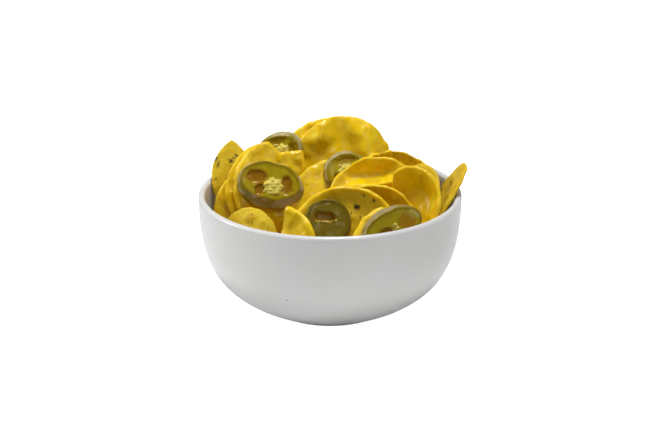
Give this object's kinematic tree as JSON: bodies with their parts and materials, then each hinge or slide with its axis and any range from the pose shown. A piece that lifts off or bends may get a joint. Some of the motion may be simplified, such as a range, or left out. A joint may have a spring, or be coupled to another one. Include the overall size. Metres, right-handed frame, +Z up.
{
  "type": "nachos",
  "caption": "White ceramic bowl heaped with round corn tortilla chips under melted cheese sauce, topped with slices of pickled jalapeno.",
  "frame": {"origin": "centre of the bowl's flat foot, on the surface it stands on", "axes": "+Z up along the bowl's axis; -Y towards the front, where the heap is lowest; +X to the right as seen from the front, the side on which a chip leans out over the rim"},
  "size_m": [0.1532, 0.15, 0.1015],
  "materials": {
    "ceramic": "white glaze, softly glossy",
    "chip": "fried corn, matt and slightly grainy; matt plastic stands in for it",
    "cheese": "melted cheese sauce, smooth and glossy; gloss plastic stands in for it",
    "jalapeno": "pickled pepper, wet; gloss plastic stands in for it"
  },
  "bodies": {
    "root": {"bowl": "ceramic", "chip_back_left": "chip", "chip_back_tall": "chip", "chip_centre": "chip", "chip_front_left": "chip", "chip_front_lower": "chip", "chip_front_right": "chip", "chip_front_upper": "chip", "chip_front_wide": "chip", "chip_left_inner": "chip", "chip_left_low": "chip", "chip_left_middle": "chip", "chip_left_outer": "chip", "chip_left_shard": "chip", "chip_rear_left": "chip", "chip_rear_middle": "chip", "chip_rear_right": "chip", "chip_rear_upright": "chip", "chip_right_back": "chip", "chip_right_bare": "chip", "chip_right_curled": "chip", "chip_right_leaning": "chip", "chip_right_rear": "chip", "chips_beneath": "cheese", "jalapeno_back": "jalapeno", "jalapeno_front": "jalapeno", "jalapeno_left": "jalapeno", "jalapeno_middle": "jalapeno", "jalapeno_rear_left": "jalapeno", "jalapeno_rear_right": "jalapeno", "jalapeno_right": "jalapeno"}
  },
  "joints": []
}
